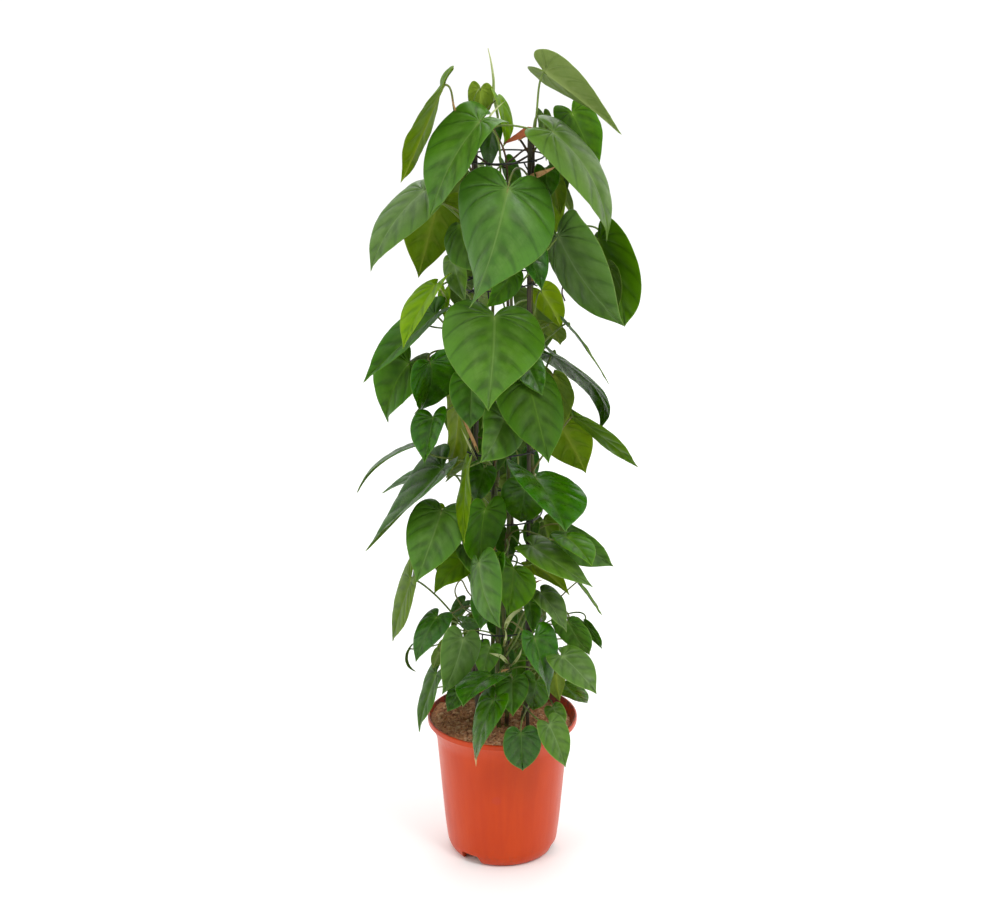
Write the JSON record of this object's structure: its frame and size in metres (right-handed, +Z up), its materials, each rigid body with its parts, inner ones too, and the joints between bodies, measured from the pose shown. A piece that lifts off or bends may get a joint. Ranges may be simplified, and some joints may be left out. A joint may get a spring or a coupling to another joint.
{
  "type": "potted heartleaf philodendron",
  "caption": "Tall climbing philodendron with heart-shaped green leaves on vines round canes tied with wire hoops, standing in a terracotta-coloured nursery pot filled with potting mix.",
  "frame": {"origin": "middle of the pot's foot, on the surface the pot stands on", "axes": "+Z up along the canes, -Y towards the plant's fullest side, +X to the right of someone who faces that side"},
  "size_m": [0.3421, 0.3517, 1.0267],
  "materials": {
    "terracotta_plastic": "satin",
    "potting_mix": "matte",
    "cane": "matte",
    "coated_wire": "satin",
    "vine_stem": "satin",
    "leaf_green": "satin",
    "leaf_dark": "satin",
    "leaf_grey_green": "satin",
    "leaf_olive": "satin",
    "leaf_lime": "satin",
    "leaf_underside": "matte",
    "new_growth": "satin"
  },
  "bodies": {
    "root": {"pot": "terracotta_plastic", "soil": "potting_mix", "cane_front_left": "cane", "cane_front_right": "cane", "cane_back_right": "cane", "cane_back_left": "cane", "wire_hoop_1": "coated_wire", "wire_hoop_2": "coated_wire", "wire_hoop_3": "coated_wire", "wire_hoop_4": "coated_wire", "wire_hoop_5": "coated_wire", "wire_hoop_6": "coated_wire", "vine_front_left": "vine_stem", "vine_front_right": "vine_stem", "vine_left": "vine_stem", "vine_right": "vine_stem", "vine_back_left": "vine_stem", "vine_back_right": "vine_stem", "leaf_01": "leaf_underside", "leaf_02": "leaf_olive", "leaf_03": "leaf_dark", "leaf_04": "leaf_dark", "leaf_05": "leaf_grey_green", "leaf_06": "leaf_green", "leaf_07": "leaf_green", "leaf_08": "leaf_grey_green", "leaf_09": "leaf_green", "leaf_10": "leaf_olive", "leaf_11": "leaf_grey_green", "leaf_12": "leaf_grey_green", "leaf_13": "leaf_dark", "leaf_14": "leaf_dark", "leaf_15": "leaf_lime", "leaf_16": "leaf_green", "leaf_17": "leaf_green", "leaf_18": "leaf_dark", "leaf_19": "leaf_green", "leaf_20": "leaf_dark", "leaf_21": "leaf_dark", "leaf_22": "leaf_dark", "leaf_23": "leaf_dark", "leaf_24": "leaf_green", "leaf_25": "leaf_olive", "leaf_26": "leaf_dark", "leaf_27": "leaf_dark", "leaf_28": "leaf_green", "leaf_29": "leaf_dark", "leaf_30": "leaf_green", "leaf_31": "leaf_green", "leaf_32": "leaf_green", "leaf_33": "leaf_grey_green", "leaf_34": "leaf_dark", "leaf_35": "leaf_green", "leaf_36": "leaf_green", "leaf_37": "leaf_dark", "leaf_38": "leaf_green", "leaf_39": "leaf_dark", "leaf_40": "leaf_grey_green", "leaf_41": "leaf_dark", "new_leaf_spike": "new_growth"}
  },
  "joints": []
}
